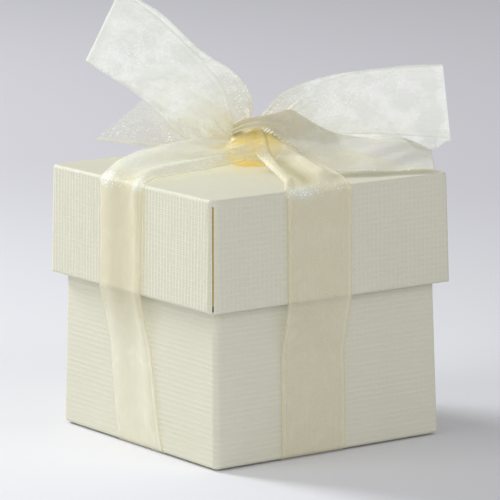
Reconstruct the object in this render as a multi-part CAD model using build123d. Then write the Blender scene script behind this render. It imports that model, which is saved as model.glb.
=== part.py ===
# Favor box: a folded card tray, a folded card lid over it, and one ribbon tied both ways in a bow.
# Millimetres, +Z up, front is -Y. The origin is on the table, under the middle of the tray.
import math
import os
from collections import namedtuple

from build123d import *

# Card
card = 0.4               # thickness
crease = 0.7             # outside radius of the folds round the lid's top and the tray's bottom
inner_corner = 0.2       # least radius inside a corner
slack = 0.1              # between neighbouring linings where they meet in a corner

# Tray: its walls lean in towards the rim
tray_side = 50.8         # outside, at the bottom
tray_lean = 0.023        # per millimetre of height
tray_corner = 1.2        # outside radius of its upright corners

# Lid: its walls flare out towards the rim
lid_fit = 1.2            # from the tray's walls to the lid's linings, on each side
lid_depth = 20.5
lid_flare = 0.022        # per millimetre of depth
lid_corner = 1.8         # outside radius of its upright corners
lid_top = 49.6           # height of the lid's upper face
lid_clear = 0.3          # from the tray's rim to the underside of the lid's top
seam = 0.35              # open seam up each corner of the lid
seam_start = 1.2         # from the lid's upper face down to the top of that seam

# Corner tabs, folded in behind the front and rear walls
tab_length = 14.0
tab_margin = 0.8         # from the folds above and below

# Ribbon
ribbon = 0.25            # thickness, with its nap
ribbon_width = 14.5
under = 0.3              # thickness of the crossed runs pressed under the tray
gap = 0.1                # ribbon to the card it lies along
slip = 0.02              # between the foot of a side run and the run under the tray
front_shift = -3.5       # middle of the front run, along X
left_shift = 1.35        # middle of the left run on the lid, along Y
low_shift = -1.25        # middle of the left and right runs at the table, along Y
step_in = 10.0           # drop in which the ribbon closes in from the lid's rim to the tray

# Bow, drawn in its own upright plane that is turned about Z
bow_turn = -35.0
knot_rise = 4.7          # middle of the knot above the lid
knot_reach = 5.2         # half its length along the bow
knot_radius = 4.3
knot_end = 3.0           # its radius at each end
tip_steps = 6
curve_steps = 4          # facets between two stations of a loop or tail

# Loop stations: lower edge along and up, upper edge along and up, depth of the layer
left_loop_near = [
    (-3.0, 3.4, -1.6, 6.4, -0.4),
    (-9.0, 4.4, -2.6, 8.8, -1.0),
    (-12.6, 6.4, -3.4, 11.6, -1.7),
    (-16.6, 10.6, -4.6, 15.6, -2.4),
    (-20.8, 14.4, -9.4, 21.6, -2.6),
    (-25.2, 17.4, -16.2, 28.2, -2.5),
    (-29.2, 20.0, -22.7, 33.2, -2.4),
]
left_loop_far = [
    (-2.4, 4.0, 0.2, 7.6, 0.9),
    (-5.6, 5.2, 1.0, 10.6, 2.0),
    (-9.6, 7.0, 0.6, 13.4, 2.6),
    (-14.6, 10.2, -2.4, 17.6, 2.4),
    (-20.0, 14.2, -9.0, 22.3, 1.2),
    (-24.9, 17.2, -15.8, 29.0, -0.2),
    (-29.2, 20.0, -22.7, 33.2, -0.8),
]
right_loop_near = [
    (2.8, 3.6, 2.8, 6.8, 0.2),
    (6.4, 5.0, 6.8, 10.4, 1.4),
    (10.6, 5.6, 11.0, 13.9, 2.4),
    (17.4, 5.8, 17.2, 16.7, 2.9),
    (26.8, 5.6, 26.2, 18.1, 3.2),
    (37.1, 4.8, 35.6, 18.6, 3.2),
]
right_loop_far = [
    (2.4, 4.2, 1.8, 7.6, 1.6),
    (5.4, 5.2, 4.2, 10.2, 3.8),
    (9.4, 5.5, 8.4, 14.4, 5.4),
    (17.0, 5.0, 16.4, 16.5, 6.4),
    (26.6, 4.0, 26.0, 17.8, 6.2),
    (36.6, 4.0, 35.5, 18.5, 4.8),
]

# Tail stations: lower edge along, deep and up, then upper edge along, deep and up
left_tail = [
    (-2.6, 1.9, 3.8, -1.8, 2.2, 7.2),
    (-10.0, 4.4, 3.4, -6.5, 4.6, 12.5),
    (-19.0, 5.4, 3.4, -10.5, 5.6, 15.8),
    (-28.8, 6.0, 4.5, -14.0, 6.2, 16.6),
]
right_tail = [
    (3.2, -2.8, 4.6, 3.0, -1.6, 8.6),
    (6.2, -2.6, 5.0, 8.4, -0.4, 10.6),
    (9.6, -5.0, 3.4, 12.8, 0.4, 8.2),
    (12.2, -7.8, 2.2, 16.4, 0.9, 6.4),
    (15.5, -11.2, 1.2, 20.5, 1.0, 5.6),
    (22.5, -11.0, 0.8, 28.0, 1.2, 5.5),
    (29.0, -9.0, 0.7, 31.5, 2.4, 4.2),
    (34.4, -7.5, 0.7, 34.4, 5.5, 2.2),
]

# Top runs from the knot to the lid's edge: share of the way out, middle, share of the full width,
# and the height of the low edge and of the high edge above the lid
plain_run = [(0.10, 0.0, 0.31, 2.4, 2.8), (0.40, 0.0, 0.53, 1.9, 2.2), (0.75, 0.0, 0.83, 1.0, 1.3)]
top_runs = {
    "front": [
        (0.10, 1.0, 0.30, 3.0, 3.8),
        (0.30, 1.0, 0.51, 1.8, 2.3),
        (0.50, -0.15, 0.64, 1.3, 1.8),
        (0.70, -1.45, 0.77, 0.9, 1.5),
        (0.88, -2.5, 0.90, 0.7, 1.1),
    ],
    "rear": plain_run,
    "left": [
        (0.10, 0.5, 0.16, 2.4, 5.4),
        (0.28, 0.6, 0.28, 1.7, 5.7),
        (0.42, 0.65, 0.37, 1.2, 5.2),
        (0.60, 1.2, 0.55, 0.8, 4.2),
        (0.76, 1.65, 0.70, 0.6, 3.2),
        (0.90, 1.85, 0.85, 0.5, 1.9),
    ],
    "right": plain_run,
}

reach = 100.0            # half the size of the blocks used for trimming

tray_low = under
tray_rim = lid_top - card - lid_clear
lid_rim = lid_top - lid_depth
wall_layers = 3          # outer layer, corner tab, lining
wall = wall_layers * card
lining_layer = wall_layers - 1
roll = wall / 2          # outside radius of a rolled rim
sides = {"right": 0, "rear": 90, "left": 180, "front": 270}
across_x = ("front", "rear")
everywhere = (-reach, reach)


def tray_half(z):
    return tray_side / 2 - tray_lean * (z - tray_low)


def lid_half(z):
    return tray_half(lid_top) + lid_fit + wall + lid_flare * (lid_top - z)


Walls = namedtuple("Walls", "half corner")
tray_walls = Walls(tray_half, tray_corner)
lid_walls = Walls(lid_half, lid_corner)


def block(walls, low, high, inset):
    # Four-sided block with rounded upright corners, set in from the outside of the walls
    radius = max(walls.corner - inset, inner_corner)
    outlines = []
    for z in (low, high):
        width = 2 * (walls.half(z) - inset)
        outlines.append(Plane.XY.offset(z) * RectangleRounded(width, width, radius))
    return loft(outlines, ruled=True)


def layer(walls, low, high, number):
    # One thickness of card all the way round, counted inwards from 0, the outside layer
    outside = block(walls, low, high, number * card)
    return outside - block(walls, low - card, high + card, (number + 1) * card)


def box(x, y, z):
    # Box from its three (low, high) pairs
    size = [high - low for low, high in (x, y, z)]
    middle = [(low + high) / 2 for low, high in (x, y, z)]
    return Pos(*middle) * Box(*size)


def quarter(side, margin):
    # Upright wedge of space that belongs to one side, between the two diagonals
    outline = Polygon((margin, 0), (reach, margin - reach), (reach, reach - margin), align=None)
    return Rot(0, 0, sides[side]) * extrude(outline, reach, both=True)


def rolled_rim(half, z, way):
    # Half ring that carries a wall over into its lining, upwards (1) or downwards (-1)
    ring = Circle(roll) - Circle(roll - card)
    ring -= Pos(0, -way * roll) * Rectangle(4 * roll, 2 * roll)
    return extrude(Plane.XZ * Pos(half(z) - roll, z) * ring, reach, both=True)


def lining(walls, low, high, side, way):
    # Inner layer of one wall with the rolled rim it hangs from
    start = high if way > 0 else low
    trim = quarter(side, slack)
    sheet = layer(walls, low, high, lining_layer) & trim
    rim = Rot(0, 0, sides[side]) * rolled_rim(walls.half, start, way)
    rim = rim & trim & block(walls, start - wall, start + wall, 0)
    return sheet + rim


def corner_tab(walls, low, high, side, end):
    # Tab folded round a corner, lying against the inside of the front or rear wall
    edge = min(walls.half(low), walls.half(high)) - walls.corner
    along = sorted((end * reach, end * (edge - tab_length)))
    depth = (-reach, -edge) if side == "front" else (edge, reach)
    return layer(walls, low, high, 1) & box(along, depth, everywhere)


def save(node, shape):
    os.makedirs("parts", exist_ok=True)
    shape.label = node
    export_step(shape, f"parts/{node}.step")


# Tray
tray_roll = tray_rim - roll
tray_blank = block(tray_walls, tray_low, tray_roll, 0)
tray_blank = fillet(tray_blank.faces().sort_by(Axis.Z)[0].edges(), crease)
tray_blank -= block(tray_walls, tray_low + card, tray_roll + card, card)
tray_flat = tray_half(tray_low) - crease
tray_floor = box((-tray_flat, tray_flat), (-tray_flat, tray_flat), (0, tray_low + card))
save("tray_bottom", tray_blank & tray_floor)
for side in sides:
    save(f"tray_{side}_wall", (tray_blank - tray_floor) & quarter(side, 0))
    save(f"tray_{side}_lining", lining(tray_walls, tray_low + 2 * card, tray_roll, side, 1))
for side in across_x:
    for end, name in ((-1, "left"), (1, "right")):
        tab = corner_tab(tray_walls, tray_low + tab_margin, tray_roll - tab_margin, side, end)
        save(f"tray_{side}_{name}_tab", tab)

# Lid: its walls meet in the corners near the top, and stand a seam apart below
lid_roll = lid_rim + roll
lid_blank = block(lid_walls, lid_roll, lid_top, 0)
lid_blank = fillet(lid_blank.faces().sort_by(Axis.Z)[-1].edges(), crease)
lid_hollow = block(lid_walls, lid_roll - card, lid_top - card, card)
lid_hollow = fillet(lid_hollow.faces().sort_by(Axis.Z)[-1].edges(), crease - card)
lid_blank -= lid_hollow
lid_flat = lid_half(lid_top) - crease
lid_ceiling = box((-lid_flat, lid_flat), (-lid_flat, lid_flat), (lid_top - card, lid_top + card))
lid_skirt = lid_blank - lid_ceiling
save("lid_top", lid_blank & lid_ceiling)
closed = box(everywhere, everywhere, (lid_top - seam_start, reach))
for side in sides:
    wedge = quarter(side, seam / math.sqrt(2)) + (quarter(side, 0) & closed)
    save(f"lid_{side}_wall", lid_skirt & wedge)
    save(f"lid_{side}_lining", lining(lid_walls, lid_roll, lid_top - 2 * card, side, -1))
for side in across_x:
    for end, name in ((-1, "left"), (1, "right")):
        tab = corner_tab(lid_walls, lid_roll + tab_margin, lid_top - tab_margin, side, end)
        save(f"lid_{side}_{name}_tab", tab)


def outlines(edges):
    # Cross-sections of a flat ribbon through pairs of points on its two edges
    found = []
    for number, (low, high) in enumerate(edges):
        before = edges[max(number - 1, 0)]
        after = edges[min(number + 1, len(edges) - 1)]
        along = after[0] + after[1] - before[0] - before[1]
        across = high - low
        facing = along.cross(across)
        plane = Plane((low + high) / 2, x_dir=across, z_dir=across.cross(facing))
        found.append(plane * Rectangle(across.length, ribbon))
    return found


def band(edges):
    return loft(outlines(edges), ruled=True)


def eased(stations):
    # Smooth curve through rows of numbers, with each row's slope taken from its two neighbours
    rows = [stations[0]] + list(stations) + [stations[-1]]
    found = []
    for before, start, end, after in zip(rows, rows[1:], rows[2:], rows[3:]):
        for step in range(curve_steps):
            t = step / curve_steps
            row = []
            for a, b, c, d in zip(before, start, end, after):
                bend = (2 * a - 5 * b + 4 * c - d) * t**2 + (3 * b - a - 3 * c + d) * t**3
                row.append(b + ((c - a) * t + bend) / 2)
            found.append(row)
    return found + [list(stations[-1])]


def run(side, stations):
    # Cross-sections of a ribbon leaving the middle of the box, from rows of distance out, middle,
    # width, height of the low edge and height of the high edge
    turn = math.radians(sides[side])
    out = Vector(math.cos(turn), math.sin(turn), 0)
    sideways = Vector(1, 0, 0) if side in across_x else Vector(0, 1, 0)
    upwards = Vector(0, 0, 1)
    edges = []
    for distance, middle, width, low, high in stations:
        centre = out * distance + sideways * middle
        aside = sideways * (width / 2)
        edges.append((centre - aside + upwards * low, centre + aside + upwards * high))
    return outlines(edges)


def lying_flat(distance, middle, z):
    # Row for run() at the ribbon's full width, with both edges level
    return distance, middle, ribbon_width, z, z


def in_bow(along, depth, up):
    # Point of the bow's turned plane; depth is away from the front corner, up is from the lid
    turn = math.radians(bow_turn)
    x = along * math.cos(turn) - depth * math.sin(turn)
    y = along * math.sin(turn) + depth * math.cos(turn)
    return Vector(x, y, lid_top + up)


def loop(near, far):
    # Out along the near layer, round the fold at the tip and back along the far layer
    def edges_of(row, push_x=0, push_z=0):
        low_x, low_z, high_x, high_z, depth = row
        low = in_bow(low_x + push_x, depth, low_z + push_z)
        return low, in_bow(high_x + push_x, depth, high_z + push_z)

    near_rows, far_rows = eased(near), eased(far)
    last, before = near_rows[-1], near_rows[-2]
    lead = Vector(last[0] + last[2] - before[0] - before[2], last[1] + last[3] - before[1] - before[3])
    lead = lead.normalized() * (far_rows[-1][4] - last[4]) / 2
    edges = [edges_of(row) for row in near_rows]
    for step in range(1, tip_steps):
        angle = math.pi * step / tip_steps
        share = (1 - math.cos(angle)) / 2
        row = [a + (b - a) * share for a, b in zip(last, far_rows[-1])]
        push = lead * math.sin(angle)
        edges.append(edges_of(row, push.X, push.Y))
    edges += [edges_of(row) for row in reversed(far_rows)]
    return band(edges)


# Knot, a barrel lying along the bow
profile = Polyline((knot_reach, knot_end), (knot_reach, 0), (-knot_reach, 0), (-knot_reach, knot_end))
profile += ThreePointArc((-knot_reach, knot_end), (0, knot_radius), (knot_reach, knot_end))
knot = revolve(make_face(Plane.XZ * profile), Axis.X)
knot = Pos(0, 0, lid_top + knot_rise) * Rot(0, 0, bow_turn) * knot
save("ribbon_knot", knot)

# Loops and tails of the bow
save("ribbon_left_loop", loop(left_loop_near, left_loop_far) - knot)
save("ribbon_right_loop", loop(right_loop_near, right_loop_far) - knot)
for name, stations in (("left", left_tail), ("right", right_tail)):
    tail = band([(in_bow(*row[:3]), in_bow(*row[3:])) for row in eased(stations)])
    save(f"ribbon_{name}_tail", tail - knot)

# Runs from the knot over the lid, down its walls and down the tray
lid_shifts = {"front": front_shift, "rear": 0, "left": left_shift, "right": 0}
low_shifts = {"front": front_shift, "rear": front_shift, "left": low_shift, "right": low_shift}
off_card = gap + ribbon / 2
edge = lid_half(lid_top)
tuck = lid_rim - step_in
bend = crease + off_card
for side in sides:
    shift = lid_shifts[side]
    stations = []
    for share, middle, width, low, high in top_runs[side]:
        stations.append((share * edge, middle, width * ribbon_width, lid_top + low, lid_top + high))
    for angle in (90, 45, 0):
        turn = math.radians(angle)
        out = edge - crease + bend * math.cos(turn)
        stations.append(lying_flat(out, shift, lid_top - crease + bend * math.sin(turn)))
    stations.append(lying_flat(lid_half(lid_rim) + off_card, shift, lid_rim))
    stations.append(lying_flat(tray_half(tuck) + off_card, shift, tuck))
    stations.append(lying_flat(tray_half(tray_low) + off_card, low_shifts[side], under + slip))
    pieces = run(side, stations)
    save(f"ribbon_{side}_top", loft(pieces[:-3], ruled=True) - knot)
    save(f"ribbon_{side}_drop", loft(pieces[-4:-2], ruled=True))
    save(f"ribbon_{side}_leg", loft(pieces[-3:], ruled=True))

# Crossed runs under the tray, pressed into one thickness
end = tray_half(tray_low) + off_card + ribbon / 2
half_width = ribbon_width / 2
along_y = (front_shift - half_width, front_shift + half_width)
along_x = (low_shift - half_width, low_shift + half_width)
save("ribbon_under_cross", box((-end, end), along_x, (0, under)))
save("ribbon_under_front", box(along_y, (-end, along_x[0]), (0, under)))
save("ribbon_under_rear", box(along_y, (along_x[1], end), (0, under)))
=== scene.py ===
import math

import bpy
import numpy as np
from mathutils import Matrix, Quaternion, Vector


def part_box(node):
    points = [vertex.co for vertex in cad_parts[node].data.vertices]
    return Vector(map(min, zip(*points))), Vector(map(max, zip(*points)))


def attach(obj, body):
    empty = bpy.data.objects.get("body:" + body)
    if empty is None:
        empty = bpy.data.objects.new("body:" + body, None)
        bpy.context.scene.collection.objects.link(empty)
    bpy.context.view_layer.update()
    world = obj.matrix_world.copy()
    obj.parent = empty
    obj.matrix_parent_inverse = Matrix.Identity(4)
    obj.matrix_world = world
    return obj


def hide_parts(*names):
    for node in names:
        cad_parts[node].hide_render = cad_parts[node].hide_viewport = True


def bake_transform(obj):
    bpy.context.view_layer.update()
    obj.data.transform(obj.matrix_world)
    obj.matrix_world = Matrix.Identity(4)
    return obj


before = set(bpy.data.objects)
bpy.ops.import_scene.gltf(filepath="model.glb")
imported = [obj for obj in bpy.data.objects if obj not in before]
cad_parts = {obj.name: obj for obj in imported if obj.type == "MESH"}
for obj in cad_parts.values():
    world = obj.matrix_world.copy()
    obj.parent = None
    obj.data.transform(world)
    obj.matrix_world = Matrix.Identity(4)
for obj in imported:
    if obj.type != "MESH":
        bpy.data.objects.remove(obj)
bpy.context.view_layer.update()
mm = 0.001
print("frame loaded,", len(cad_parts), "nodes")

scene = bpy.context.scene
scene.view_settings.view_transform = "Standard"

# camera: it stands at the photo's angle and is aimed so that the box's middle falls on middlePixel
cameraSpot = {
    "azimuth": -35.25, "elevation": 11.0, "distance": 0.706, "middle": (0.0, 0.0, 0.0252),
    "lens": 271.7, "sensor": 36.0, "roll": 0.33, "middlePixel": (248.6, 296.6), "frameSize": 500.0,
    "clip": (0.01, 20.0),
}


def addCamera(spot):
    turn, rise = math.radians(spot["azimuth"]), math.radians(spot["elevation"])
    back = Vector((math.sin(turn) * math.cos(rise), -math.cos(turn) * math.cos(rise), math.sin(rise)))
    right = Vector((math.cos(turn), math.sin(turn), 0.0))
    up = back.cross(right)
    pixelsPerSlope = spot["lens"] * spot["frameSize"] / spot["sensor"]
    centre = spot["frameSize"] / 2
    slopeRight = (centre - spot["middlePixel"][0]) / pixelsPerSlope
    slopeUp = (spot["middlePixel"][1] - centre) / pixelsPerSlope
    data = bpy.data.cameras.new("photoCamera")
    data.lens = spot["lens"]
    data.sensor_width = spot["sensor"]
    data.clip_start, data.clip_end = spot["clip"]
    camera = bpy.data.objects.new("photoCamera", data)
    scene.collection.objects.link(camera)
    aim = right * slopeRight + up * slopeUp - back
    roll = Quaternion(aim.normalized(), math.radians(spot["roll"]))
    camera.rotation_mode = "QUATERNION"
    camera.rotation_quaternion = roll @ aim.to_track_quat("-Z", "Y")
    camera.location = Vector(spot["middle"]) + back * spot["distance"]
    scene.camera = camera


addCamera(cameraSpot)
print("camera placed")


# small helpers for shader nodes
def newMaterial(name):
    material = bpy.data.materials.new(name)
    material.use_nodes = True
    tree = material.node_tree
    shader = tree.nodes["Principled BSDF"]
    return material, tree, shader


def addNode(tree, kind, inputs=None, **settings):
    # inputs: socket name or number -> value, or another socket to link from
    node = tree.nodes.new(kind)
    for key, value in settings.items():
        setattr(node, key, value)
    for key, value in (inputs or {}).items():
        if isinstance(value, bpy.types.NodeSocket):
            tree.links.new(value, node.inputs[key])
        else:
            node.inputs[key].default_value = value
    return node


def sums(tree, operation, first, second=0.0, third=0.0):
    return addNode(tree, "ShaderNodeMath", {0: first, 1: second, 2: third}, operation=operation).outputs[0]


def ramp(tree, value, low, high, most=1.0):
    # smooth step of value, from 0 at low to most at high
    inputs = {"Value": value, "From Min": low, "From Max": high, "To Min": 0.0, "To Max": most}
    return addNode(tree, "ShaderNodeMapRange", inputs, interpolation_type="SMOOTHSTEP").outputs[0]


def layered(tree, base, *layers):
    # base plus each layer's value times its share
    for value, share in layers:
        base = sums(tree, "MULTIPLY_ADD", value, share, base)
    return base


def tintMix(tree, share, first, second):
    # sockets 0, 6 and 7 of a colour mix: the share, the first colour and the second
    return addNode(tree, "ShaderNodeMix", {0: share, 6: first, 7: second}, data_type="RGBA").outputs[2]


def noise(tree, vector, scale, detail=2.0):
    inputs = {"Vector": vector, "Scale": scale, "Detail": detail, "Roughness": 0.5}
    return addNode(tree, "ShaderNodeTexNoise", inputs).outputs["Fac"]


def srgb(red, green, blue):
    # 0..255 display colour to the linear colour a shader takes
    value = np.array([red, green, blue]) / 255.0
    linear = np.where(value <= 0.04045, value / 12.92, ((value + 0.055) / 1.055) ** 2.4)
    return (*[float(x) for x in linear], 1.0)


# floor: a painted pool of light, pale near the box and centred to its left so that its right side is painted
# darker as shade, greyer further out, with a soft cloth-like mottle
floorLook = {
    "size": 3.0, "near": srgb(239, 239, 243), "far": srgb(205, 204, 209), "middle": (-0.13, 0.03, 0.0),
    "paleRadius": 0.05, "greyRadius": 0.42, "mottleScale": 9.0, "mottle": 0.04,
    "roughness": 0.9, "gloss": 0.1,
}


def addFloor(look):
    half = look["size"] / 2
    mesh = bpy.data.meshes.new("floor")
    corners = [(-half, -half, 0), (half, -half, 0), (half, half, 0), (-half, half, 0)]
    mesh.from_pydata(corners, [], [(0, 1, 2, 3)])
    floor = bpy.data.objects.new("floor", mesh)
    scene.collection.objects.link(floor)
    material, tree, shader = newMaterial("paleFloor")
    spot = addNode(tree, "ShaderNodeTexCoord").outputs["Object"]
    away = addNode(tree, "ShaderNodeVectorMath", {0: spot, 1: look["middle"]}, operation="DISTANCE")
    grey = ramp(tree, away.outputs["Value"], look["paleRadius"], look["greyRadius"])
    mottled = layered(tree, grey, (noise(tree, spot, look["mottleScale"]), look["mottle"]))
    tree.links.new(tintMix(tree, mottled, look["near"], look["far"]), shader.inputs["Base Color"])
    shader.inputs["Roughness"].default_value = look["roughness"]
    shader.inputs["Specular IOR Level"].default_value = look["gloss"]
    mesh.materials.append(material)


addFloor(floorLook)

# soft light: a broad lamp on the left, a window behind, a weak lamp in front, and an even world
lampPlan = {
    "key": {"place": (-0.80, 0.14, 0.46), "size": 0.70, "power": 2.45, "tint": (1.0, 0.993, 0.955)},
    "fill": {"place": (0.15, -0.90, 0.42), "size": 0.80, "power": 2.5, "tint": (0.97, 0.98, 1.0)},
    "window": {"place": (-0.28, 0.80, 0.62), "size": 0.35, "power": 7.2, "tint": (0.97, 0.99, 1.0)},
}
worldLook = {"tint": (0.98, 0.985, 1.0, 1.0), "strength": 0.40}
aimHeight = 0.03

for name, lamp in lampPlan.items():
    data = bpy.data.lights.new(name + "Lamp", "AREA")
    data.shape = "DISK"
    data.size = lamp["size"]
    data.energy = lamp["power"]
    data.color = lamp["tint"]
    lampObject = bpy.data.objects.new(name + "Lamp", data)
    scene.collection.objects.link(lampObject)
    lampObject.location = lamp["place"]
    aim = Vector((0, 0, aimHeight)) - lampObject.location
    lampObject.rotation_euler = aim.to_track_quat("-Z", "Y").to_euler()
world = bpy.data.worlds.new("evenSky")
world.use_nodes = True
world.node_tree.nodes["Background"].inputs["Color"].default_value = worldLook["tint"]
world.node_tree.nodes["Background"].inputs["Strength"].default_value = worldLook["strength"]
scene.world = world
print("floor and lamps placed")

# linen card: on each axis a comb of threads, made uneven by noise that is stretched along the thread
# the valley tint is painted shade in the hollows between the threads
cardLook = {
    "tint": srgb(230, 229, 212), "valleyShade": srgb(206, 203, 180), "pitch": 0.98 * mm, "uneven": 0.40,
    "run": 6.0 * mm, "breakRun": 3.5 * mm, "acrossThread": 0.9, "shift": (7.3, 3.1, 5.7),
    "threadEdge": (0.25, 0.95), "breakEdge": (0.12, 0.52), "dash": 0.46 * mm, "dashCut": 0.22,
    "dashWander": 9.0, "cloudScale": 55.0, "grainScale": 2600.0, "middleTint": 0.40, "cloudTint": 0.30,
    "grainTint": 0.20, "relief": 0.09 * mm, "grainRelief": 0.15, "bump": 0.9, "roughness": 0.52,
    "roughSpread": 0.12, "gloss": 0.42,
}
# each face's last number is how strongly its thread hollows are painted with shade; the lid's side walls get
# the strongest
linenFaces = {  # how strongly the threads that repeat along x, y and z are felt, then their contrast
    "linenRibbed": (0.20, 0.95, 0.28, 0.62), "linenFine": (0.55, 0.55, 0.50, 0.45),
    "linenLaid": (0.22, 0.22, 0.62, 0.38),
}
insideShares = (0.3, 0.3, 0.3, 0.45)
insideLook = {"tint": srgb(250, 222, 146), "valleyShade": srgb(236, 202, 118)}   # warm gold card on the tabs, which shows as a warm line in the seams


def linenCard(name, shares, look, tint, valleyShade):
    # thread = sine across the pitch, its phase pushed about by slow noise, cut into broken runs
    material, tree, shader = newMaterial(name)
    spot = addNode(tree, "ShaderNodeTexCoord").outputs["Object"]
    parts = addNode(tree, "ShaderNodeSeparateXYZ", {0: spot})
    contrast = shares[3]
    height = None
    for axis, share in enumerate(shares[:3]):
        stretch = [1.0 / look["run"]] * 3
        stretch[axis] = look["acrossThread"] / look["pitch"]
        shift = [step * axis for step in look["shift"]]
        placed = addNode(tree, "ShaderNodeMapping", {"Vector": spot, "Scale": stretch, "Location": shift})
        wander = noise(tree, placed.outputs[0], 1.0, detail=1.0)
        broken = noise(tree, placed.outputs[0], look["run"] / look["breakRun"], detail=0.0)
        phase = sums(tree, "MULTIPLY_ADD", parts.outputs[axis], 2 * math.pi / look["pitch"],
                     sums(tree, "MULTIPLY", wander, 2 * math.pi * look["uneven"]))
        thread = sums(tree, "MULTIPLY_ADD", sums(tree, "SINE", phase), 0.5, 0.5)
        thread = sums(tree, "MULTIPLY", ramp(tree, thread, *look["threadEdge"]),
                      ramp(tree, broken, *look["breakEdge"]))
        part = sums(tree, "MULTIPLY", thread, share)
        height = part if height is None else sums(tree, "MAXIMUM", height, part)
    cloud = noise(tree, spot, look["cloudScale"], detail=3.0)
    grain = noise(tree, spot, look["grainScale"], detail=1.0)
    # crossing threads cut the ribs into dashes
    dash = sums(tree, "SINE", sums(tree, "MULTIPLY_ADD", parts.outputs[2], 2 * math.pi / look["dash"],
                                   sums(tree, "MULTIPLY", cloud, look["dashWander"])))
    cut = sums(tree, "MULTIPLY_ADD", dash, look["dashCut"], 1 - look["dashCut"])
    height = sums(tree, "MULTIPLY", height, cut)
    # painted shade in the thread hollows, by the face's contrast, plus slow cloud and fine grain tone that
    # differ at random
    shade = layered(tree, look["middleTint"] * (1 - contrast), (height, contrast), (cloud, look["cloudTint"]),
                    (grain, look["grainTint"]))
    tree.links.new(tintMix(tree, shade, valleyShade, tint), shader.inputs["Base Color"])
    relief = layered(tree, height, (grain, look["grainRelief"]))
    bumpInputs = {"Strength": look["bump"], "Distance": look["relief"], "Height": relief}
    tree.links.new(addNode(tree, "ShaderNodeBump", bumpInputs).outputs[0], shader.inputs["Normal"])
    rough = layered(tree, look["roughness"] - look["roughSpread"] / 2, (cloud, look["roughSpread"]))
    tree.links.new(rough, shader.inputs["Roughness"])
    shader.inputs["Specular IOR Level"].default_value = look["gloss"]
    return material


linen = {name: linenCard(name, shares, cardLook, cardLook["tint"], cardLook["valleyShade"])
         for name, shares in linenFaces.items()}
linen["linenInside"] = linenCard("linenInside", insideShares, cardLook, insideLook["tint"],
                                 insideLook["valleyShade"])
for name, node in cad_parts.items():
    if name.startswith("ribbon_"):
        continue
    face = "linenLaid" if name.startswith("tray_") else "linenFine"
    if name in ("lid_left_wall", "lid_right_wall"):
        face = "linenRibbed"
    if name.endswith("_tab"):
        face = "linenInside"
    for place in node.material_slots:
        place.material = linen[face]
print("card finished")

# organza: warp and weft as crossed sines, a close-woven edge with a fine line along it, and soft patches; a
# per-point tone scale paints light and shade: 0 is one airy layer lit white, beige is painted shade where it
# lies on card, gold is painted warm shade in deep gathers, which are also woven closer
ribbonSize = {"width": 14.5 * mm, "thick": 0.10 * mm}
organzaLook = {
    "stops": [(0.0, srgb(254, 254, 252)), (0.10, srgb(243, 245, 239)), (0.20, srgb(240, 239, 225)),
              (0.35, srgb(233, 226, 198)), (0.70, srgb(255, 236, 160)), (1.0, srgb(252, 208, 100))],
    # olive is the colour of the painted shadow
    "oliveShadow": srgb(176, 169, 124), "pitch": 0.36 * mm, "relief": 0.05 * mm, "bump": 0.5, "sheen": 0.15,
    "edge": 1.0 * mm, "edgeSoft": 0.2 * mm, "line": 0.28 * mm, "lineSoft": 1.6, "lineCover": 0.42,
    "patchScale": 230.0, "patchEdge": (0.44, 0.64), "speckScale": 1900.0, "speckEdge": (0.5, 0.1),
    "speckChance": (0.2, 0.8), "patchSpark": 0.30, "glintScale": 1500.0, "streakScale": (90.0, 2400.0, 1.0),
    "closeGather": (0.4, 0.9), "closeShadow": 0.7, "smoothPatch": -0.10, "roughMore": 0.05,
    # patches and sparks are painted paler, as highlights and glints
    "tintBase": 0.03, "tintShares": {"patch": -0.09, "line": 0.07, "paintedSpark": -0.40},
    "coverBase": -0.05,
    "coverShares": {"weave": 0.06, "streak": 0.06, "patch": 0.15, "edge": 0.08, "paintedSpark": 0.45},
    "reliefShares": {"weave": 0.45, "streak": 0.35, "glint": 1.5},
}
organzaKinds = {
    "organzaLoop": {"cover": 0.38, "roughness": 0.30, "gloss": 0.55, "patch": 1.0},
    "organzaTail": {"cover": 0.23, "roughness": 0.32, "gloss": 0.50, "patch": 0.6},
    "organzaRightTail": {"cover": 0.44, "roughness": 0.40, "gloss": 0.35, "patch": 0.5},
    "organzaStrap": {"cover": 0.36, "roughness": 0.46, "gloss": 0.30, "patch": 0.2},
    "organzaKnot": {"cover": 0.70, "roughness": 0.40, "gloss": 0.35, "patch": 0.4},
}


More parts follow.
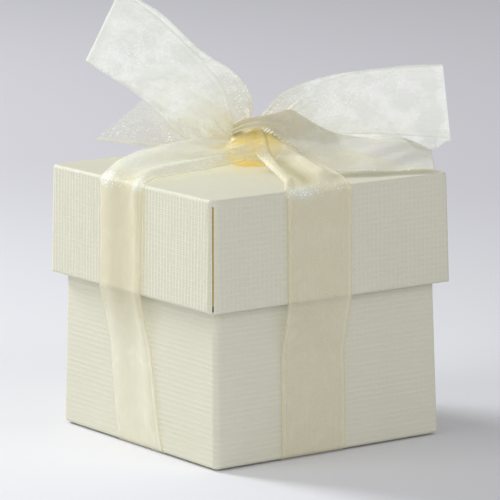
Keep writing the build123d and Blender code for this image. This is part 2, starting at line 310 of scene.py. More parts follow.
def organza(name, kind, look):
    # cover is how much one face of the ribbon hides; its edges, gathers, painted shadow and painted glints
    # hide more
    material, tree, shader = newMaterial(name)
    uv = addNode(tree, "ShaderNodeUVMap", uv_map="ribbonUv").outputs[0]
    parts = addNode(tree, "ShaderNodeSeparateXYZ", {0: uv})
    along, across = parts.outputs[0], parts.outputs[1]
    gatherShade, paintedShadow, paintedGlint = (addNode(tree, "ShaderNodeAttribute", attribute_name=key).outputs["Fac"]
                             for key in ("gatherShade", "paintedShadow", "paintedGlint"))
    beat = 2 * math.pi / look["pitch"]
    weft = sums(tree, "SINE", sums(tree, "MULTIPLY", along, beat))
    warp = sums(tree, "SINE", sums(tree, "MULTIPLY", across, beat))
    weave = sums(tree, "MULTIPLY", weft, warp)
    aside = sums(tree, "ABSOLUTE", across)
    half = ribbonSize["width"] / 2
    edge = ramp(tree, aside, half - look["edge"], half - look["edge"] + look["edgeSoft"])
    line = ramp(tree, aside, half - look["line"] * look["lineSoft"], half - look["line"])
    # soft patches: a closer, smoother weave, also painted paler as highlights
    blotch = noise(tree, uv, look["patchScale"], detail=3.0)
    patch = ramp(tree, blotch, *look["patchEdge"], kind["patch"])
    # painted glints: small bright specks, where the glint attribute and the patches call for them
    cells = addNode(tree, "ShaderNodeTexVoronoi", {"Vector": uv, "Scale": look["speckScale"]})
    chance = addNode(tree, "ShaderNodeSeparateColor", {0: cells.outputs["Color"]}).outputs[0]
    speck = sums(tree, "MULTIPLY", ramp(tree, cells.outputs["Distance"], *look["speckEdge"]),
                 ramp(tree, chance, *look["speckChance"]))
    paintedSpark = sums(tree, "MULTIPLY", speck, layered(tree, paintedGlint, (patch, look["patchSpark"])))
    glint = noise(tree, uv, look["glintScale"], detail=2.0)
    stretched = addNode(tree, "ShaderNodeMapping", {"Vector": uv, "Scale": look["streakScale"]})
    streak = noise(tree, stretched.outputs[0], 1.0, detail=1.0)
    layers = {"weave": weave, "streak": streak, "patch": patch, "edge": edge, "line": line, "paintedSpark": paintedSpark,
              "glint": glint}

    def stacked(base, shares):
        # base plus each named layer by its share
        return layered(tree, base, *((layers[key], share) for key, share in shares.items()))

    # colour along the ramp: painted paler in patches and sparks as highlights and glints, deeper in the line
    # along the edge, olive painted shadow where the shadow attribute is set
    deeper = stacked(sums(tree, "ADD", gatherShade, look["tintBase"]), look["tintShares"])
    tints = addNode(tree, "ShaderNodeValToRGB", {"Fac": deeper})
    while len(tints.color_ramp.elements) < len(look["stops"]):
        tints.color_ramp.elements.new(0.5)
    for stop, (place, tint) in zip(tints.color_ramp.elements, look["stops"]):
        stop.position = place
        stop.color = tint
    tree.links.new(tintMix(tree, paintedShadow, tints.outputs[0], look["oliveShadow"]), shader.inputs["Base Color"])

    # cover: the threads of the body are open, the edges and the gathers are close, and so is the painted
    # shadow
    body = stacked(kind["cover"] + look["coverBase"], look["coverShares"])
    closed = sums(tree, "MAXIMUM", sums(tree, "MULTIPLY", line, look["lineCover"]),
                  ramp(tree, gatherShade, *look["closeGather"]))
    closed = sums(tree, "MAXIMUM", closed, sums(tree, "MULTIPLY", paintedShadow, look["closeShadow"]))
    hidden = addNode(tree, "ShaderNodeMath", {0: body, 1: closed}, operation="MAXIMUM", use_clamp=True)
    tree.links.new(hidden.outputs[0], shader.inputs["Alpha"])

    bumpInputs = {"Strength": look["bump"], "Distance": look["relief"],
                  "Height": stacked(edge, look["reliefShares"])}
    tree.links.new(addNode(tree, "ShaderNodeBump", bumpInputs).outputs[0], shader.inputs["Normal"])
    rough = layered(tree, kind["roughness"] + look["roughMore"], (patch, look["smoothPatch"]))
    tree.links.new(rough, shader.inputs["Roughness"])
    shader.inputs["Specular IOR Level"].default_value = kind["gloss"]
    shader.inputs["Sheen Weight"].default_value = look["sheen"]
    return material


ribbonLook = {name: organza(name, kind, organzaLook) for name, kind in organzaKinds.items()}
print("organza finished")


# ribbon surfaces: every one is a grid, rows along the ribbon and columns across it
def easedRows(rows, count):
    # smooth curve through rows of numbers; the slope at a row is half the step between its neighbours
    rows = np.array(rows, float)
    padded = np.vstack([2 * rows[0] - rows[1], rows, 2 * rows[-1] - rows[-2]])
    place = np.linspace(0, len(rows) - 1, count)
    first = np.minimum(place.astype(int), len(rows) - 2)
    t = (place - first)[:, None]
    a, b, c, d = (padded[first + k] for k in range(4))
    return b + 0.5 * t * ((c - a) + t * ((2 * a - 5 * b + 4 * c - d) + t * (3 * (b - c) + d - a)))


def roundedWalk(rows, step, ease):
    # even steps along a bent line, then every value averaged over a bell of 2 * ease + 1 steps
    rows = np.array(rows, float)
    gone = np.concatenate([[0.0], np.cumsum(np.hypot(np.diff(rows[:, 0]), np.diff(rows[:, 1])))])
    places = np.linspace(0.0, gone[-1], int(gone[-1] / step) + 1)
    found = np.stack([np.interp(places, gone, column) for column in rows.T], axis=1)
    weights = np.hanning(2 * ease + 3)[1:-1]
    padded = np.pad(found, ((ease, ease), (0, 0)), mode="reflect", reflect_type="odd")
    return np.stack([np.convolve(column, weights / weights.sum(), mode="valid")
                     for column in padded.T], axis=1)


def lengthsAlong(points):
    # running length of a row of points, from 0
    return np.concatenate([[0.0], np.cumsum(np.linalg.norm(np.diff(points, axis=0), axis=1))])


def bell(value, middle, width):
    # bell of height 1
    return np.exp(-((value - middle) / width) ** 2)


def fade(value, low, high):
    # 0 below low, 1 above high, an S between
    t = np.clip((value - low) / (high - low), 0.0, 1.0)
    return t * t * (3 - 2 * t)


def rumple(x, y, wave):
    # uneven swells about one wave long: three sines that cross at different angles, each bent by another
    x, y = 2 * np.pi * x / wave, 2 * np.pi * y / wave
    swell = np.sin(x + 0.9 * np.sin(0.61 * y)) * np.sin(0.83 * y + 0.7 * np.sin(0.47 * x) + 0.4)
    swell += 0.7 * np.sin(0.71 * x + 0.58 * y + 1.3 * np.sin(0.33 * x - 0.52 * y))
    return (swell + 0.5 * np.sin(0.94 * x - 1.13 * y + 2.1 + np.sin(0.41 * y))) / 2.2


def normalsOf(points):
    # unit normals of a grid, from the cross product of its two slopes
    normal = np.cross(np.gradient(points, axis=0), np.gradient(points, axis=1))
    return normal / np.linalg.norm(normal, axis=2)[:, :, None]


def ribbonPiece(name, points, look, gatherShade, paintedShadow=0.0, paintedGlint=0.0, flip=False):
    # grid of points (rows, columns, xyz) in metres to a thin cloth piece with its own uv and its painted
    # light and shade tones
    rows, columns = points.shape[:2]
    index = np.arange(rows * columns).reshape(rows, columns)
    quads = np.stack([index[:-1, :-1], index[1:, :-1], index[1:, 1:], index[:-1, 1:]], axis=-1).reshape(-1, 4)
    if flip:
        quads = quads[:, ::-1]
    mesh = bpy.data.meshes.new(name)
    mesh.from_pydata(points.reshape(-1, 3), [], quads)
    mesh.shade_smooth()
    along = lengthsAlong(points[:, columns // 2])
    across = np.linspace(-0.5, 0.5, columns) * ribbonSize["width"]
    uv = np.stack(np.broadcast_arrays(along[:, None], across[None, :]), axis=-1).reshape(-1, 2)
    corners = np.empty(len(mesh.loops), np.int32)
    mesh.loops.foreach_get("vertex_index", corners)
    mesh.uv_layers.new(name="ribbonUv").data.foreach_set("uv", uv[corners].astype(np.float32).ravel())
    for key, tone in (("gatherShade", gatherShade), ("paintedShadow", paintedShadow), ("paintedGlint", paintedGlint)):
        tone = np.broadcast_to(np.clip(tone, 0.0, 1.0), (rows, columns)).astype(np.float32)
        mesh.attributes.new(key, "FLOAT", "POINT").data.foreach_set("value", tone.ravel())
    mesh.materials.append(ribbonLook[look])
    piece = bpy.data.objects.new(name, mesh)
    scene.collection.objects.link(piece)
    solid = piece.modifiers.new("thickness", "SOLIDIFY")
    solid.thickness = ribbonSize["thick"]
    solid.offset = 0.0
    return piece


# card that the ribbon lies on, in millimetres, read from the frame
cardShape = {"fold": 0.7, "lean": 0.023, "footZ": 0.3}
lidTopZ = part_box("lid_top")[1][2] / mm
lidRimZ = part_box("lid_front_lining")[0][2] / mm
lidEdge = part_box("lid_top")[1][0] / mm + cardShape["fold"]
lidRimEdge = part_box("lid_right_wall")[1][0] / mm
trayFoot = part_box("tray_right_wall")[1][0] / mm

# the bow stands in an upright plane turned about Z; depth runs away from the camera
bowPlane = {"turn": math.radians(-35.0), "floor": lidTopZ}


def inBow(along, depth, up):
    # bow-plane millimetres to metres in the shared frame
    turn = bowPlane["turn"]
    x = along * math.cos(turn) - depth * math.sin(turn)
    y = along * math.sin(turn) + depth * math.cos(turn)
    return np.stack([x, y, bowPlane["floor"] + up], axis=-1) * mm


# wraps: one run on each side, from the knot over the lid's edge, down both walls and under the tray
# top rows: share of the way out, low-side edge across and up, high-side edge across and up
# spans: the two edges across at the lid's top edge, its rim, where the ribbon meets the tray, and the foot
# folds on the lid and wallFolds down its wall: place across, width and height; the painted shade, the painted
# olive shadow, the painted edge highlights and the painted glints: place across, width and strength; roll:
# middle and half width in mm, height; tone, the painted shade level: on lid, on tray; gold is painted warm
# shade at the knot
wrapPlan = {
    "front": {
        "out": (0, -1), "side": (1, 0), "flip": False,
        "spans": [(-10.6, 3.8), (-10.75, 3.4), (-10.9, 3.3), (-11.0, 3.2)],
        "top": [(0.03, -1.0, 2.6, 0.9, 6.2), (0.12, -1.0, 2.5, 2.2, 6.2), (0.30, -2.1, 1.5, 4.8, 4.2),
                (0.50, -4.2, 1.05, 4.9, 2.8), (0.70, -6.4, 0.75, 4.5, 1.9), (0.88, -8.6, 0.5, 4.2, 1.1)],
        "folds": [(0.66, 0.18, 1.7)], "roll": (1.1, 1.15, 1.15), "gold": 0.34,
        "wallFolds": [(0.04, 0.04, 0.25), (0.72, 0.22, 0.12)], "wallShadow": 0.0, "paintedShadow": (0.38, 0.15, 0.85),
        "shade": [(0.5, 0.8, 0.04), (0.70, 0.20, -0.08)], "tone": (0.31, 0.30),
        "edgeHighlight": [(0.25, 0.22, 0.6)], "paintedGlint": [],
    },
    "left": {
        "out": (-1, 0), "side": (0, 1), "flip": True,
        "spans": [(-5.8, 8.5), (-5.2, 8.7), (-4.9, 8.6), (-8.5, 5.9)],
        "top": [(0.06, -1.6, 1.0, 1.6, 5.4), (0.28, -2.0, 0.5, 2.6, 5.8), (0.42, -2.5, 0.4, 3.3, 5.5),
                (0.60, -3.1, 0.4, 5.2, 4.8), (0.76, -3.6, 0.4, 6.7, 3.9), (0.90, -4.4, 0.35, 8.0, 2.3)],
        "folds": [(0.02, 0.04, 0.5), (0.26, 0.14, 0.8), (0.80, 0.18, 0.7)],
        "roll": (0.0, 1.0, 0.0), "gold": 0.20,
        "wallFolds": [(0.13, 0.13, 1.0), (0.76, 0.22, 1.1)], "wallShadow": 0.14, "paintedShadow": (0.46, 0.05, 0.12),
        "shade": [(0.5, 0.9, -0.14), (0.80, 0.20, -0.06)], "tone": (0.31, 0.22),
        "edgeHighlight": [(0.84, 0.13, 1.0), (0.14, 0.09, 0.8)], "paintedGlint": [(0.25, 0.12, 0.25)],
    },
    "rear": {
        "out": (0, 1), "side": (1, 0), "flip": True,
        "spans": [(-7.2, 7.3), (-7.2, 7.3), (-7.8, 6.6), (-10.7, 3.7)],
        "top": [(0.06, -2.2, 2.2, 2.2, 2.8), (0.40, -3.8, 1.7, 3.9, 2.2), (0.75, -6.0, 0.9, 6.1, 1.3)],
        "folds": [(0.2, 0.12, 0.7), (0.72, 0.16, 0.9)], "roll": (0.0, 1.0, 0.0), "gold": 0.2,
        "wallFolds": [(0.28, 0.18, 0.5), (0.8, 0.12, 0.3)], "wallShadow": 0.0, "paintedShadow": (0.45, 0.08, 0.15),
        "shade": [], "tone": (0.30, 0.26), "edgeHighlight": [], "paintedGlint": [],
    },
    "right": {
        "out": (1, 0), "side": (0, 1), "flip": False,
        "spans": [(-7.2, 7.3), (-7.2, 7.3), (-7.5, 6.9), (-8.5, 5.9)],
        "top": [(0.06, -2.2, 2.2, 2.2, 2.8), (0.40, -3.8, 1.5, 3.9, 2.0), (0.75, -6.0, 0.8, 6.1, 1.1)],
        "folds": [(0.25, 0.14, 0.7), (0.7, 0.14, 0.8)], "roll": (0.0, 1.0, 0.0), "gold": 0.2,
        "wallFolds": [(0.62, 0.2, 0.5), (0.15, 0.10, 0.3)], "wallShadow": 0.0, "paintedShadow": (0.48, 0.08, 0.15),
        "shade": [], "tone": (0.30, 0.26), "edgeHighlight": [], "paintedGlint": [],
    },
}
# its pleat tone paints shade in the pleat hollows and light on their crests; the edge glint and edge paling
# paint a highlight where the strap turns over the lid's edge; the gold and shadow reaches set how far the
# painted warm shade and painted shadow run
wrapShape = {
    "lift": 0.25, "stepIn": 10.0, "tuckUnder": 1.2, "rimRise": 0.2, "footRise": 0.4, "footTurn": 0.2,
    "underZ": (0.12, 0.10), "step": 0.30, "ease": 4, "columns": 57, "edgeCurl": 0.10, "curlPower": 8,
    "wander": 0.12, "wanderWave": 7.0, "sway": 0.04, "swayWave": 9.0, "wallFade": 24.0, "wallLeast": 0.25,
    "topFade": (-0.5, 4.0), "topDepth": 1.0, "footFade": (0.4, 6.0), "blendLow": 1.0, "blendBelow": 0.6,
    "pleats": 4, "pleat": 0.22, "pleatDrift": (0.6, 9), "pleatReach": (1.0, 15.0), "pleatTone": 0.08,
    "goldReach": (2.0, 9.0), "shadowReach": (4.0, 10.0), "edgeWidth": 1.0, "edgeDrop": (2.0, 0.5),
    "edgeGlint": 0.5, "edgePale": 0.4,
}
# rolled edge, painted highlights: place and width of its bright line and of its white end, then how much
# paler they are painted and how strong their painted glints
rollLook = {"line": (0.05, 0.2), "tip": (5.5, 3.5), "paintedLight": (0.22, 0.24), "paintedGlint": (0.7, 0.5)}


def wrapRows(plan, shape):
    # distance out, height, the place of the two edges across, and how much higher the second edge lies
    lift, fold = shape["lift"], cardShape["fold"]
    topSpan, rimSpan, traySpan, footSpan = plan["spans"]
    turnZ, underZ = shape["underZ"]
    rows = [(share * lidEdge, lidTopZ + lowUp, low, high, highUp - lowUp)
            for share, low, lowUp, high, highUp in plan["top"]]
    for angle in np.radians((90, 60, 30, 0)):
        out = lidEdge - fold + (fold + lift) * math.cos(angle)
        rows.append((out, lidTopZ - fold + (fold + lift) * math.sin(angle), *topSpan, 0.0))
    rows.append((lidRimEdge + lift, lidRimZ + shape["rimRise"], *rimSpan, 0.0))
    tuckZ = lidRimZ - shape["stepIn"]
    rows.append((trayFoot - cardShape["lean"] * tuckZ + lift, tuckZ, *traySpan, 0.0))
    rows.append((trayFoot + lift, cardShape["footZ"] + shape["footRise"], *footSpan, 0.0))
    rows.append((trayFoot - shape["footTurn"], turnZ, *footSpan, 0.0))
    rows.append((trayFoot - shape["tuckUnder"], underZ, *footSpan, 0.0))
    return rows


def addWrap(side, plan, shape):
    # point = out * distance + across * place + up * height, pushed off the card by folds and pleats
    path = roundedWalk(wrapRows(plan, shape), shape["step"], shape["ease"])
    distance, height, low, high, tilt = path.T
    v = np.linspace(0.0, 1.0, shape["columns"])
    out, across = np.array(plan["out"], float), np.array(plan["side"], float)
    tangent = np.gradient(path[:, :2], axis=0)
    tangent /= np.linalg.norm(tangent, axis=1)[:, None]
    normal = np.stack([-tangent[:, 1], tangent[:, 0]], axis=1)
    gone = lengthsAlong(path[:, :2])
    onTop = fade(lidEdge - distance, *shape["topFade"]) * fade(height, lidTopZ - shape["topDepth"], lidTopZ)
    onWall = (1 - onTop) * fade(height, *shape["footFade"])
    onCard = (onTop + onWall)[:, None]
    down = np.maximum(lidTopZ - height, 0.0)
    place = low[:, None] + (high - low)[:, None] * v[None, :]
    middle, half, tall = plan["roll"]
    rolled = np.sqrt(np.clip(1 - ((place - low[:, None] - middle) / half) ** 2, 0.0, 1.0)) * onTop[:, None]
    push = tall * rolled
    for middle, width, tall in plan["folds"]:
        push += tall * onTop[:, None] * bell(v, middle, width)[None, :]
    least = shape["wallLeast"]
    weaker = (onWall * (least + (1 - least) * np.exp(-down / shape["wallFade"])))[:, None]
    sway = shape["sway"] * np.sin(gone / shape["swayWave"])[:, None]
    for middle, width, tall in plan["wallFolds"]:
        push += tall * weaker * bell(v[None, :], middle + sway, width)
    push += shape["edgeCurl"] * onCard * np.abs(2 * v - 1)[None, :] ** shape["curlPower"]
    uneven = rumple(gone[:, None], v[None, :] * ribbonSize["width"] / mm, shape["wanderWave"])
    push += shape["wander"] * (uneven + 1) / 2 * onCard
    drawn = (1 - fade(gone, *shape["pleatReach"]))[:, None]
    drift, driftWave = shape["pleatDrift"]
    pleatTurn = 2 * np.pi * shape["pleats"] * v
    push += shape["pleat"] * drawn * (1 + np.cos(pleatTurn + drift * np.sin(driftWave * v)))[None, :] / 2
    flatOut = distance[:, None] + normal[:, :1] * push
    points = np.empty((len(path), len(v), 3))
    points[..., :2] = out * flatOut[..., None] + across * place[..., None]
    points[..., 2] = height[:, None] + tilt[:, None] * v[None, :] + normal[:, 1:] * push
    # painted light and shade: warm gold painted shade at the knot, each side's painted shade level on the lid
    # and on the tray, painted light and shade on the pleats and in bands across, a painted olive shadow, and
    # painted highlights and glints where it turns down
    legShare = fade(lidRimZ - height, 0.0, shape["stepIn"])
    tone = plan["tone"][0] + (plan["tone"][1] - plan["tone"][0]) * legShare
    gold = plan["gold"] * (1 - fade(gone, *shape["goldReach"]))
    gatherShade = (tone + gold)[:, None] + shape["pleatTone"] * drawn * np.cos(pleatTurn + np.pi)[None, :]
    for middle, width, more in plan["shade"]:
        gatherShade = gatherShade + more * onTop[:, None] * bell(v, middle, width)[None, :]
    middle, width, deep = plan["paintedShadow"]
    paintedShadow = deep * (onTop * fade(gone, *shape["shadowReach"]))[:, None] * bell(v, middle, width)[None, :]
    paintedShadow = paintedShadow + plan["wallShadow"] * (onWall * (1 - legShare))[:, None]
    deepest, highest = shape["edgeDrop"]
    edgeTurn = bell(distance, lidEdge, shape["edgeWidth"])
    edgeTurn = edgeTurn * fade(height, lidTopZ - deepest, lidTopZ - highest)
    paintedGlint = shape["edgeGlint"] * edgeTurn[:, None] + np.zeros_like(gatherShade)
    for middle, width, most in plan["edgeHighlight"]:
        spot = edgeTurn[:, None] * bell(v, middle, width)[None, :]
        gatherShade, paintedGlint = gatherShade - shape["edgePale"] * most * spot, paintedGlint + most * spot
    for middle, width, more in plan["paintedGlint"]:
        paintedGlint = paintedGlint + more * onTop[:, None] * bell(v, middle, width)[None, :]
    # painted highlights on the rolled edge: a bright line along its outer side and a white end at the knot
    if plan["roll"][2]:
        line = bell(place - low[:, None], *rollLook["line"]) * onTop[:, None]
        tip = rolled * bell(gone, *rollLook["tip"])[:, None]
        gatherShade = gatherShade - rollLook["paintedLight"][0] * line - rollLook["paintedLight"][1] * tip
        paintedGlint = paintedGlint + rollLook["paintedGlint"][0] * line + rollLook["paintedGlint"][1] * tip
    name = "ribbon" + side.capitalize() + "Wrap"
    piece = ribbonPiece(name, points * mm, "organzaStrap", gatherShade, paintedShadow, paintedGlint, flip=plan["flip"])
    piece.visible_shadow = False   # sheer, and flat on the card
    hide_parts(f"ribbon_{side}_top", f"ribbon_{side}_drop", f"ribbon_{side}_leg")
    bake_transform(piece)


for side, plan in wrapPlan.items():
    addWrap(side, plan, wrapShape)
print("wraps made")

# runs under the tray, pressed flat: one along X, one along Y on top of it
underPlan = {
    "ribbonUnderAcross": {"turn": False, "span": (-8.5, 6.0), "z": 0.06, "nodes": ["ribbon_under_cross"]},
    "ribbonUnderAlong": {"turn": True, "span": (-10.75, 3.75), "z": 0.20,
                         "nodes": ["ribbon_under_front", "ribbon_under_rear"]},
}
# the runs under the tray take the straps' beige painted shade level
underShape = {"rows": 81, "columns": 25, "wavy": 0.02, "waves": (2.3, 1.7), "tone": 0.35}
reach = trayFoot - wrapShape["tuckUnder"]
for name, plan in underPlan.items():
    # flat strip, wavy by one sine along times one across
    s, v = np.meshgrid(np.linspace(-reach, reach, underShape["rows"]),
                       np.linspace(*plan["span"], underShape["columns"]), indexing="ij")
    waveAlong, waveAcross = underShape["waves"]
    z = plan["z"] + underShape["wavy"] * np.sin(s / waveAlong) * np.sin(v / waveAcross)
    points = np.stack([v, s, z] if plan["turn"] else [s, v, z], axis=-1) * mm
    piece = ribbonPiece(name, points, "organzaStrap", underShape["tone"], flip=plan["turn"])
    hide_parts(*plan["nodes"])
    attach(piece, "tray")
print("under runs made")

# loops: rows give the lower edge along and up, the upper edge along and up, and the depth
# band: where the wrinkles lie, along and up, and their half width; painted glints: place and width across,
# then out; tone: how light the loop is painted
loopPlan = {
    "ribbonLeftLoop": {
        "near": [(-3.0, 3.4, -1.6, 6.4, -0.4), (-9.0, 4.4, -2.6, 8.8, -1.0), (-12.6, 6.4, -3.4, 11.6, -1.7),
                 (-16.6, 10.6, -4.6, 15.6, -2.4), (-20.8, 14.4, -9.4, 21.6, -2.6),
                 (-25.2, 17.4, -16.2, 28.2, -2.5), (-29.2, 20.0, -22.7, 33.2, -2.4)],
        "far": [(-2.4, 4.0, 0.2, 7.6, 0.9), (-5.6, 5.2, 1.0, 10.6, 2.0), (-9.6, 7.0, 0.6, 13.4, 2.6),
                (-14.6, 10.2, -2.4, 17.6, 2.4), (-20.0, 14.2, -9.0, 22.3, 1.2),
                (-24.9, 17.2, -15.8, 29.0, -0.2), (-29.2, 20.0, -22.7, 33.2, -0.8)],
        "nodes": ["ribbon_left_loop"],
        "tone": 0.08, "bulge": 0.6, "swell": 0.30, "wave": 7.5, "wrinkle": 0.04,
        "band": (-20.0, 22.0, 3.0), "paintedSparkle": (0.85, 0.16, 0.30, 0.18),
    },
    "ribbonRightLoop": {
        "near": [(2.8, 3.6, 2.8, 6.8, 0.2), (6.4, 5.0, 6.8, 10.4, 1.4), (10.6, 5.6, 11.0, 13.9, 2.4),
                 (17.4, 5.8, 17.2, 16.7, 2.9), (26.8, 5.6, 26.2, 18.1, 3.2), (37.1, 4.8, 35.6, 18.6, 3.2)],
        "far": [(2.4, 4.2, 1.4, 7.6, 1.6), (5.4, 5.2, 3.4, 10.4, 3.8), (9.4, 5.5, 7.6, 14.0, 5.4),
                (17.0, 5.0, 16.0, 16.5, 6.4), (27.6, 3.6, 26.0, 17.8, 6.2), (34.2, 2.3, 31.6, 18.3, 5.6),
                (37.0, 3.9, 35.5, 18.5, 4.8)],
        "nodes": ["ribbon_right_loop"],
        "tone": 0.05, "bulge": 0.6, "swell": 0.26, "wave": 9.0, "wrinkle": 0.15,
        "band": (18.5, 12.6, 2.6), "paintedSparkle": (0.9, 0.12, 0.2, 0.1),
    },
}
loopShape = {
    "rows": 110, "tipRows": 14, "columns": 57, "bellyPower": 0.7, "calm": 0.08, "layerShift": 11,
    "pleats": 5, "pleat": 0.30, "pleatDrift": (0.8, 7), "pleatReach": (1.0, 13.0), "pleatTone": 0.05,
    "climb": 0.33, "bandReach": 9.0, "slant": (0.8, 0.6), "slantBeat": 4.6, "slantWander": (1.6, 5.0),
    "slantShift": 3.0, "slantWave": 4.0, "slantBreak": (-0.5, 0.7), "slantTone": 0.06,
    "slantLight": (0.0, 0.8), "bandGlint": 0.5, "rootTone": 0.24, "goldReach": (0.5, 16.0),
    "goldPower": 1.5,
}


def addLoop(name, plan, shape):
    # out along the near layer, a half turn round the fold, back along the far layer; both layers belly
    # outwards as a half sine across, swell unevenly, wrinkle on the slant and are pleated towards the knot
    near, far = easedRows(plan["near"], shape["rows"]), easedRows(plan["far"], shape["rows"])
    end, endFar = near[-1], far[-1]
    lead = (near[-1] - near[-2])[:4].reshape(2, 2).sum(axis=0)
    lead /= np.linalg.norm(lead)
    turn = np.linspace(0, np.pi, shape["tipRows"])[1:-1, None]
    radius = (endFar[4] - end[4]) / 2
    tip = (end + endFar) / 2 - np.cos(turn) * (endFar - end) / 2
    tip[:, :4] += np.sin(turn) * radius * np.tile(lead, 2)
    rows = np.vstack([near, tip, far[::-1]])
    layer = np.concatenate([-np.ones(len(near)), -np.cos(turn[:, 0]), np.ones(len(far))])[:, None]
    out = np.concatenate([np.linspace(0, 1, len(near)), np.ones(len(tip)), np.linspace(1, 0, len(far))])
    out = out[:, None]
    v = np.linspace(0.0, 1.0, shape["columns"])[None, :]
    along = rows[:, 0:1] + (rows[:, 2:3] - rows[:, 0:1]) * v
    up = rows[:, 1:2] + (rows[:, 3:4] - rows[:, 1:2]) * v
    gone = lengthsAlong(np.stack([along, rows[:, 4:5] + 0 * along, up], axis=-1)[:, shape["columns"] // 2])
    ends = np.minimum(gone, gone[-1] - gone)[:, None]
    drawn = 1 - fade(ends, *shape["pleatReach"])
    belly = plan["bulge"] * np.sin(np.pi * v) * layer * np.sin(np.pi * out) ** shape["bellyPower"]
    calm = np.abs(layer) * fade(1 - out, 0.0, shape["calm"])
    swell = plan["swell"] * rumple(along + shape["layerShift"] * layer, up, plan["wave"])
    # short slanting wrinkles in a band that climbs along the loop
    place, level, wide = plan["band"]
    band = bell(up - level - shape["climb"] * (along - place), 0.0, wide)
    band = band * bell(along, place, shape["bandReach"]) * (layer < 0)
    slantAlong, slantUp = shape["slant"]
    wander, wanderWave = shape["slantWander"]
    beat = shape["slantBeat"] * (slantAlong * along - slantUp * up)
    slant = np.sin(beat + wander * rumple(along, up, wanderWave))
    slant *= fade(rumple(along + shape["slantShift"], up, shape["slantWave"]), *shape["slantBreak"])
    drift, driftWave = shape["pleatDrift"]
    pleat = np.cos(2 * np.pi * shape["pleats"] * v + drift * np.sin(driftWave * v)) * drawn
    depth = rows[:, 4:5] + belly + calm * (swell + plan["wrinkle"] * slant * band) + shape["pleat"] * pleat
    # painted light and shade: tone sets how light the loop is painted, gold is painted warm shade at the
    # roots, the pleats are painted lighter and darker, the lit side of the slanting wrinkles lighter, and
    # glints are painted on the far layer and in the wrinkle band
    gold = shape["rootTone"] * (1 - fade(ends, *shape["goldReach"])) ** shape["goldPower"]
    paintedLight = shape["pleatTone"] * pleat + shape["slantTone"] * band * fade(slant, *shape["slantLight"])
    gatherShade = plan["tone"] + gold - paintedLight
    middle, width, place, reach = plan["paintedSparkle"]
    paintedGlint = bell(v, middle, width) * bell(out, place, reach) * (layer > 0) + shape["bandGlint"] * band
    piece = ribbonPiece(name, inBow(along, depth, up), "organzaLoop", gatherShade, 0.0, paintedGlint)
    piece.visible_shadow = False   # sheer: light goes through it to the layer behind
    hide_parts(*plan["nodes"])
    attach(piece, "lid")
    print(name, "length", round(float(gone[-1]), 1))


# tails: rows give the lower edge along, deep and up, then the upper edge along, deep and up
# least and root: the painted shade level at the free end and the painted warm shade at the knot; foldBack:
# how much of the face may turn down behind it; painted glints: place and width across, strength, and how far
# out they start
tailPlan = {
    "ribbonLeftTail": {
        "rows": [(-2.6, 1.9, 3.8, -1.8, 2.2, 7.2), (-10.0, 4.4, 3.4, -6.5, 4.6, 12.5),
                 (-19.0, 5.4, 3.4, -10.5, 5.6, 15.8), (-28.8, 6.0, 4.5, -14.0, 6.2, 16.6)],
        "look": "organzaTail", "nodes": ["ribbon_left_tail"], "swell": 0.30, "wave": 8.0, "least": 0.0,
        "foldBack": 0.0, "paintedSparkle": (0.17, 0.12, 0.8, 3.0), "root": 0.35, "shadow": False,
    },
    "ribbonRightTail": {
        "rows": [(1.0, 2.4, 5.0, 1.5, 2.4, 7.2), (-2.2, 1.6, 5.6, -1.7, 1.6, 7.8),
                 (-3.2, -0.8, 6.2, -2.3, -0.6, 8.3), (-1.8, -2.9, 7.1, -0.9, -2.2, 9.3),
                 (0.9, -4.5, 7.9, 1.6, -2.6, 9.9), (3.5, -5.4, 8.0, 5.0, -2.0, 10.4),
                 (6.2, -5.8, 6.0, 8.3, -0.9, 10.8), (9.3, -6.7, 4.0, 12.6, 0.3, 8.3),
                 (12.2, -7.8, 2.3, 16.4, 0.9, 6.4), (15.5, -11.2, 1.2, 20.5, 1.0, 5.6),
                 (22.5, -11.0, 0.8, 28.0, 1.2, 5.5), (29.0, -9.0, 0.7, 31.5, 2.4, 4.2),
                 (34.4, -7.5, 0.7, 34.4, 5.5, 2.2)],
        "look": "organzaRightTail", "nodes": ["ribbon_right_tail"], "swell": 0.26, "wave": 9.0, "least": 0.20,
        "foldBack": 0.9, "paintedSparkle": (0.0, 0.03, 0.9, 17.0), "root": 0.38, "shadow": True,
    },
}
tailShape = {
    "rows": 170, "columns": 81, "gap": 0.7, "foldRadius": 0.6, "ease": 3, "pleats": 4, "pleat": 0.40,
    "pleatMost": 2.2, "pleatDrift": (0.7, 6), "pleatTone": 0.15, "swellReach": (1.0, 6.0),
    "goldReach": (4.0, 34.0), "sparkSoft": 3.0,
}


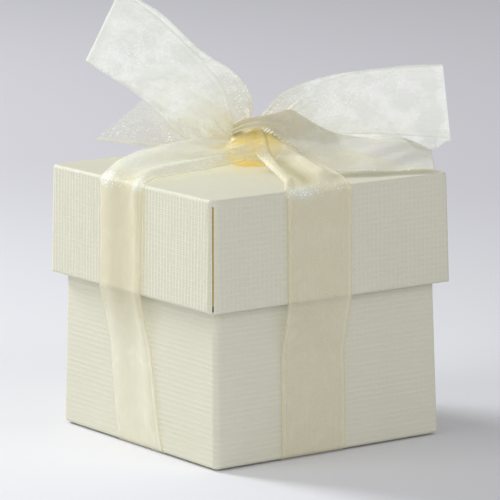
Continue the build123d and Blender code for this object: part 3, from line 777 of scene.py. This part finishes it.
def addTail(name, plan, shape):
    # ruled between its two edges; where that is narrower than the cut, the rest turns down behind the upper
    # edge; then pushed along its own normal by uneven swells, and by pleats that take up what is still left
    rows = easedRows(plan["rows"], shape["rows"])
    low, high = inBow(*rows[:, :3].T), inBow(*rows[:, 3:].T)
    behind = inBow(0.0, 1.0, 0.0) - inBow(0.0, 0.0, 0.0)
    v = np.linspace(0.0, 1.0, shape["columns"])[None, :]
    face = np.linalg.norm(high - low, axis=1)[:, None]
    back = np.clip(ribbonSize["width"] - face, 0.0, plan["foldBack"] * face)
    past = np.maximum(v * (face + back) - face, 0.0)
    place = np.minimum(v * (face + back), face) / face - past / face
    points = low[:, None, :] + (high - low)[:, None, :] * place[:, :, None]
    points = points + behind * (shape["gap"] * (1 - np.exp(-past / (shape["foldRadius"] * mm))))[:, :, None]
    soften = np.hanning(2 * shape["ease"] + 3)[1:-1]
    padded = np.pad(points, ((0, 0), (shape["ease"],) * 2, (0, 0)), mode="reflect", reflect_type="odd")
    points = sum(share * padded[:, k:k + shape["columns"]] for k, share in enumerate(soften / soften.sum()))
    gone = lengthsAlong(points[:, shape["columns"] // 2])[:, None] / mm
    # pleats: slope = sqrt(2 (cut width / width) ^ 2 - 2), height = a share of slope * width / (2 pi pleats)
    slope = np.sqrt(2 * (np.clip(ribbonSize["width"] / (face + back), 1.0, shape["pleatMost"]) ** 2 - 1))
    tall = shape["pleat"] * slope * (face + back) / (2 * np.pi * shape["pleats"] * mm)
    drift, driftWave = shape["pleatDrift"]
    pleat = np.cos(2 * np.pi * shape["pleats"] * v + drift * np.sin(driftWave * v))
    push = plan["swell"] * rumple(gone, v * ribbonSize["width"] / mm, plan["wave"])
    push = push * fade(gone, *shape["swellReach"])
    points = points + normalsOf(points) * ((push + tall * pleat) * mm)[:, :, None]
    # painted warm gold shade at the root, painted light and shade on the pleats, painted glints
    gold = (plan["root"] - plan["least"]) * (1 - fade(gone, *shape["goldReach"]))
    gatherShade = plan["least"] + gold - shape["pleatTone"] * tall * pleat
    middle, width, most, start = plan["paintedSparkle"]
    paintedGlint = most * bell(v, middle, width) * fade(gone, start, start + shape["sparkSoft"])
    piece = ribbonPiece(name, points, plan["look"], gatherShade, 0.0, paintedGlint)
    piece.visible_shadow = plan["shadow"]
    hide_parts(*plan["nodes"])
    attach(piece, "lid")
    print(name, "length", round(float(gone[-1, 0]), 1))


# knot: a roll along the bow, cut into lobes by creases that slant across it; turn 0 faces the camera's side
# creases: turn at the middle, change of turn along the roll, width and depth
knotShape = {
    "middle": (0.8, 0.0, 3.6), "reach": 5.1, "tall": 3.5, "deep": 3.2, "rows": 145, "columns": 97,
    "creases": [(0.75, 0.35, 0.32, 0.16), (-0.95, -0.20, 0.30, 0.12), (2.3, 0.4, 0.25, 0.2),
                (3.9, -0.5, 0.25, 0.2)],
    "creasePower": 1.3, "endPower": (1.7, 4.0), "narrow": 0.10, "lump": 0.04, "sway": 0.5, "drop": 0.3,
    "pleats": 15, "pleat": 0.02, "pleatSlant": 9, "pleatDrift": 1.5, "floor": 0.12, "flatLength": 18.0,
}
# tones of the knot, painted light and shade: strength, turn and width of the painted gold shade above and
# below, and of the painted glints by height
knotLook = {
    "tone": 0.40, "goldAbove": (0.24, 0.80, 0.5), "goldBelow": (0.34, 2 * np.pi - 1.15, 0.4),
    "creaseGold": 0.4, "goldStart": (-1.2, -0.5), "pleatTone": 1.2, "mottle": 0.10, "mottleWave": 3.5,
    "paintedSparkle": (0.3, -0.05, 0.4),
}


def addKnot(shape, look):
    # radius = rounded ends * (1 - each crease's bell round the roll + fine slanting pleats + slow lumps)
    s = np.linspace(-1.0, 1.0, shape["columns"])[None, :]
    turn = np.linspace(0.0, 2 * np.pi, shape["rows"])[:, None]
    creased = np.zeros((shape["rows"], shape["columns"]))
    for middle, slant, width, deep in shape["creases"]:
        apart = (turn - middle - slant * s + np.pi) % (2 * np.pi) - np.pi
        creased += deep * np.exp(-np.abs(apart / width) ** shape["creasePower"])
    rounded = np.sqrt(np.clip(1 - np.abs(s) ** np.where(s < 0, *shape["endPower"]), 0.0, 1.0))
    taper = rounded * (1 - shape["narrow"] * s)
    pleat = shape["pleat"] * np.sin(shape["pleats"] * turn - shape["pleatSlant"] * s
                                    + shape["pleatDrift"] * np.sin(2 * turn))
    lump = shape["lump"] * np.sin(2 * turn + 3 * s) + shape["lump"] * np.sin(5 * s + turn)
    radius = taper * (1 - creased + pleat + lump)
    along, deep, up = shape["middle"]
    x = along + shape["reach"] * s + shape["sway"] * np.sin(turn)
    y = deep - shape["deep"] * radius * np.cos(turn)
    z = np.maximum(up + shape["tall"] * radius * np.sin(turn) - shape["drop"] * s, shape["floor"])
    # painted warm gold shade where the turn tucks in above and below, paler with painted glints on the lobe
    # between them
    gold = look["creaseGold"] * creased
    for most, middle, width in (look["goldAbove"], look["goldBelow"]):
        gold = gold + most * bell(turn, middle, width)
    mottle = look["mottle"] * rumple(x, z + y, look["mottleWave"])
    gatherShade = look["tone"] + gold * fade(s, *look["goldStart"]) - look["pleatTone"] * pleat + mottle
    most, middle, width = look["paintedSparkle"]
    paintedGlint = most * bell(np.sin(turn), middle, width) * (np.cos(turn) > 0)
    piece = ribbonPiece("ribbonKnot", inBow(x, y, z), "organzaKnot", gatherShade, 0.0, paintedGlint)
    piece.visible_shadow = False   # it sits in the straps, which are sheer too
    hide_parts("ribbon_knot")
    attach(piece, "lid")


addKnot(knotShape, knotLook)
for name, plan in loopPlan.items():
    addLoop(name, plan, loopShape)
for name, plan in tailPlan.items():
    addTail(name, plan, tailShape)
print("bow made")
